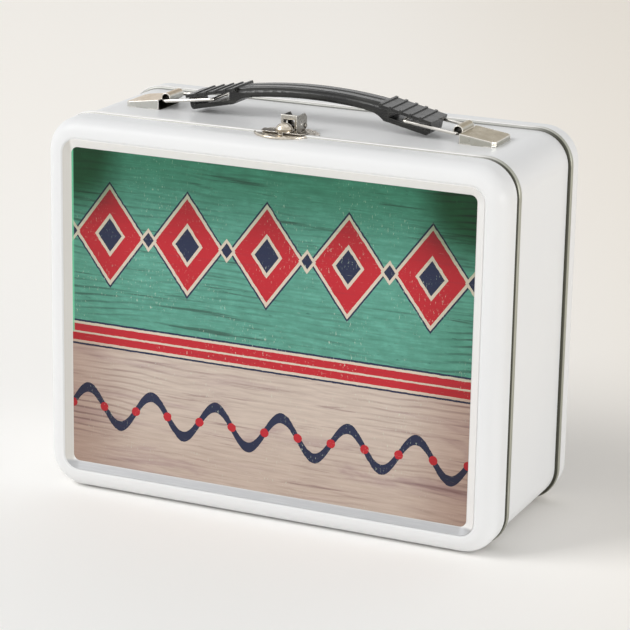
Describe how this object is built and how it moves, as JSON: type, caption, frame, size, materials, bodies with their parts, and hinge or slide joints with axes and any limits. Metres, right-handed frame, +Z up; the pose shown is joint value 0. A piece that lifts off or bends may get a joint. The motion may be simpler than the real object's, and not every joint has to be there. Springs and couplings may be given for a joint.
{
  "type": "lunch box",
  "caption": "Tin lunch box with a hinged front lid, a printed panel, a lift-up latch and a drop handle on wire rings.",
  "frame": {"origin": "on the table, under the middle of the box's footprint", "axes": "+X to the box's right end seen from the picture side, +Y from the picture lid to the rear panel, +Z up to the handle"},
  "size_m": [0.2252, 0.1014, 0.193],
  "materials": {
    "paint_band": "white enamel on tinplate, with a bare front bead",
    "paint_rear": "white enamel on tinplate, with a bare bead",
    "paint_lid": "white enamel on tinplate, satin",
    "tray": "brushed bare aluminium",
    "print": "printed film, satin",
    "steel": "bare steel",
    "wire": "nickel-plated wire",
    "nickel": "dull nickel plate",
    "latch_nickel": "nickel plate",
    "lever_nickel": "nickel plate",
    "rivet_nickel": "nickel plate",
    "grip": "moulded black plastic, satin"
  },
  "bodies": {
    "case": {"body_band": "paint_band", "rear_panel": "paint_rear", "hinge_wire_left": "wire", "hinge_wire_right": "wire", "bracket_left": "nickel", "bracket_right": "nickel", "latch_plate": "latch_nickel", "latch_pin": "steel", "latch_rivets": "rivet_nickel"},
    "lid": {"lid_shell": "paint_lid", "picture_plate": "tray", "picture_print": "print", "hinge_leaf_left": "steel", "hinge_leaf_right": "steel", "catch_plate": "latch_nickel", "catch_rivets": "rivet_nickel"},
    "lever": {"latch_lever": "lever_nickel"},
    "handle": {"handle_grip": "grip"},
    "left_ring": {"ring_left": "wire"},
    "right_ring": {"ring_right": "wire"}
  },
  "joints": [
    {"name": "lid_hinge", "type": "hinge", "parent": "case", "child": "lid", "pos_m": [0, -0.03255, 0.0017], "axis": [1, 0, 0], "range_deg": [0, 125]},
    {"name": "latch_swing", "type": "hinge", "parent": "case", "child": "lever", "pos_m": [0, -0.01835, 0.1791], "axis": [-1, 0, 0], "range_deg": [0, 90]},
    {"name": "handle_lift", "type": "slide", "parent": "case", "child": "handle", "axis": [0, 0, 1], "range_m": [0, 0.017]},
    {"name": "ring_right_swing", "type": "hinge", "parent": "case", "child": "right_ring", "pos_m": [0.0725, 0, 0.1807], "axis": [0, 1, 0], "range_deg": [0, 40]},
    {"name": "ring_left_swing", "type": "hinge", "parent": "case", "child": "left_ring", "pos_m": [-0.0725, 0, 0.1807], "axis": [0, -1, 0], "range_deg": [0, 40]}
  ],
  "couplings": [
    {"joint": "ring_right_swing", "follows": "handle_lift", "rad_per_m": 41.066},
    {"joint": "ring_left_swing", "follows": "handle_lift", "rad_per_m": 41.066}
  ]
}
